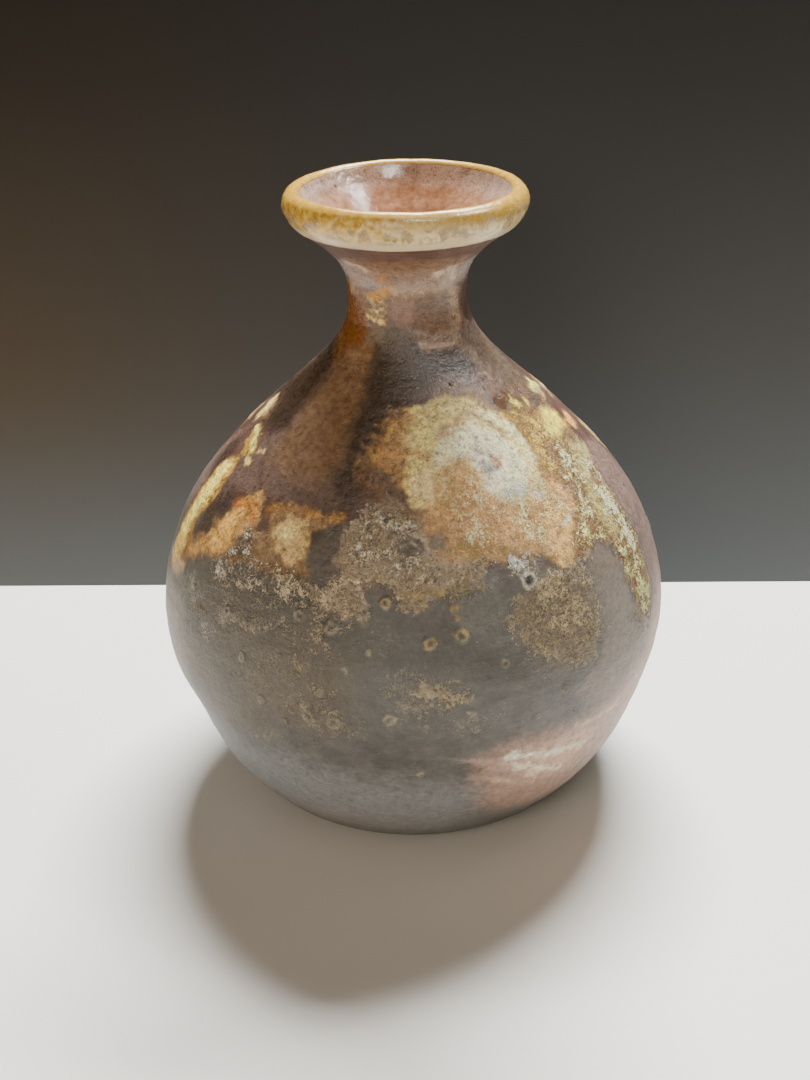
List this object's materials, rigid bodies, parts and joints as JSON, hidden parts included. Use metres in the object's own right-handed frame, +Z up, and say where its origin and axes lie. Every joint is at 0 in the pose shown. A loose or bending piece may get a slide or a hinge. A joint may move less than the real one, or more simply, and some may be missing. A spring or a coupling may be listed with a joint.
{
  "type": "sake bottle",
  "caption": "Round-bellied stoneware sake bottle with a narrow throat, flared mouth, rolled lip and fused ash glass, for holding and pouring sake.",
  "frame": {"origin": "centre of the flat underside that the bottle stands on", "axes": "+Z up along the bottle's turning axis; -Y is the side with the pale ash pool, +X is its right"},
  "size_m": [0.1, 0.1, 0.1214],
  "materials": {
    "clay_reduced": "matt to satin bluish-grey stoneware with fine throwing lines",
    "clay_flashed": "satin red-brown to mauve flashed stoneware",
    "clay_throat": "semi-gloss lilac-brown flashed stoneware",
    "glass_cream": "glossy cream ash glass with golden edge",
    "glass_rose": "glossy rose-grey ash glass",
    "glass_celadon": "pale celadon ash glass with a golden feathered edge",
    "glass_granular": "rough granular half-melted ash crust",
    "glass_gold": "golden-yellow satin ash glass"
  },
  "bodies": {
    "root": {"base_disc": "clay_reduced", "lower_body": "clay_reduced", "upper_body": "clay_flashed", "neck_collar": "clay_throat", "mouth_flare": "clay_throat", "lip_band": "glass_cream", "lip_glaze": "glass_cream", "mouth_glaze": "glass_rose", "front_ash_pool": "glass_celadon", "front_crust": "glass_granular", "right_ash_run": "glass_gold", "left_ash_patch": "glass_gold", "left_ash_streak": "glass_gold"}
  },
  "joints": []
}
